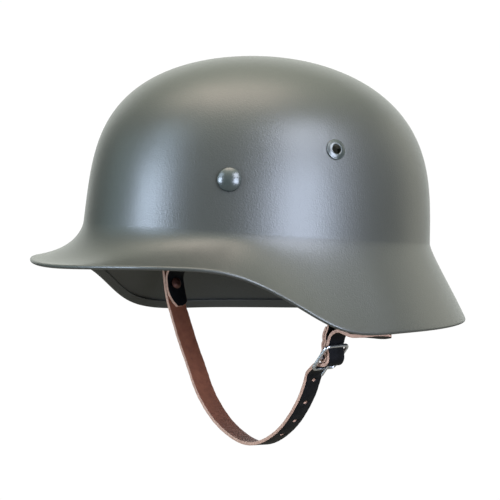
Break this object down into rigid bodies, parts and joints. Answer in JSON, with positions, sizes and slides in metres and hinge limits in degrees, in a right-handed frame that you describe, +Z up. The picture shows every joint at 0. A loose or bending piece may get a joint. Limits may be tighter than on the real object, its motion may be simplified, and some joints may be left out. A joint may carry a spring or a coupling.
{
  "type": "steel combat helmet",
  "caption": "Pressed steel combat helmet with a deep dome, visor, flared ear and neck skirt, turned-in rim, domed pins, vent bushings and a buckled leather chin strap.",
  "frame": {"origin": "centre of the shell's waist at brow height, on the axis of the wearer's head", "axes": "-Y is the wearer's front, +X the wearer's left, +Z up"},
  "size_m": [0.2538, 0.2906, 0.2485],
  "materials": {
    "painted_steel": "satin grey-green paint",
    "painted_fitting": "semi-gloss grey-green paint",
    "black_leather": "black grain outside, brown flesh inside, tan cut edges",
    "brown_metal": "brown lacquer, worn",
    "bare_steel": "dull nickel"
  },
  "bodies": {
    "root": {"shell": "painted_steel", "pin_front_left": "painted_fitting", "pin_front_right": "painted_fitting", "pin_rear": "painted_fitting", "vent_bushing_left": "painted_fitting", "vent_bushing_right": "painted_fitting", "strap_hanger_left": "painted_fitting", "strap_hanger_right": "painted_fitting", "chin_strap_long": "black_leather", "chin_strap_short": "black_leather", "strap_stud_left": "brown_metal", "strap_stud_right": "brown_metal", "buckle_frame": "bare_steel", "buckle_prong": "bare_steel"}
  },
  "joints": []
}
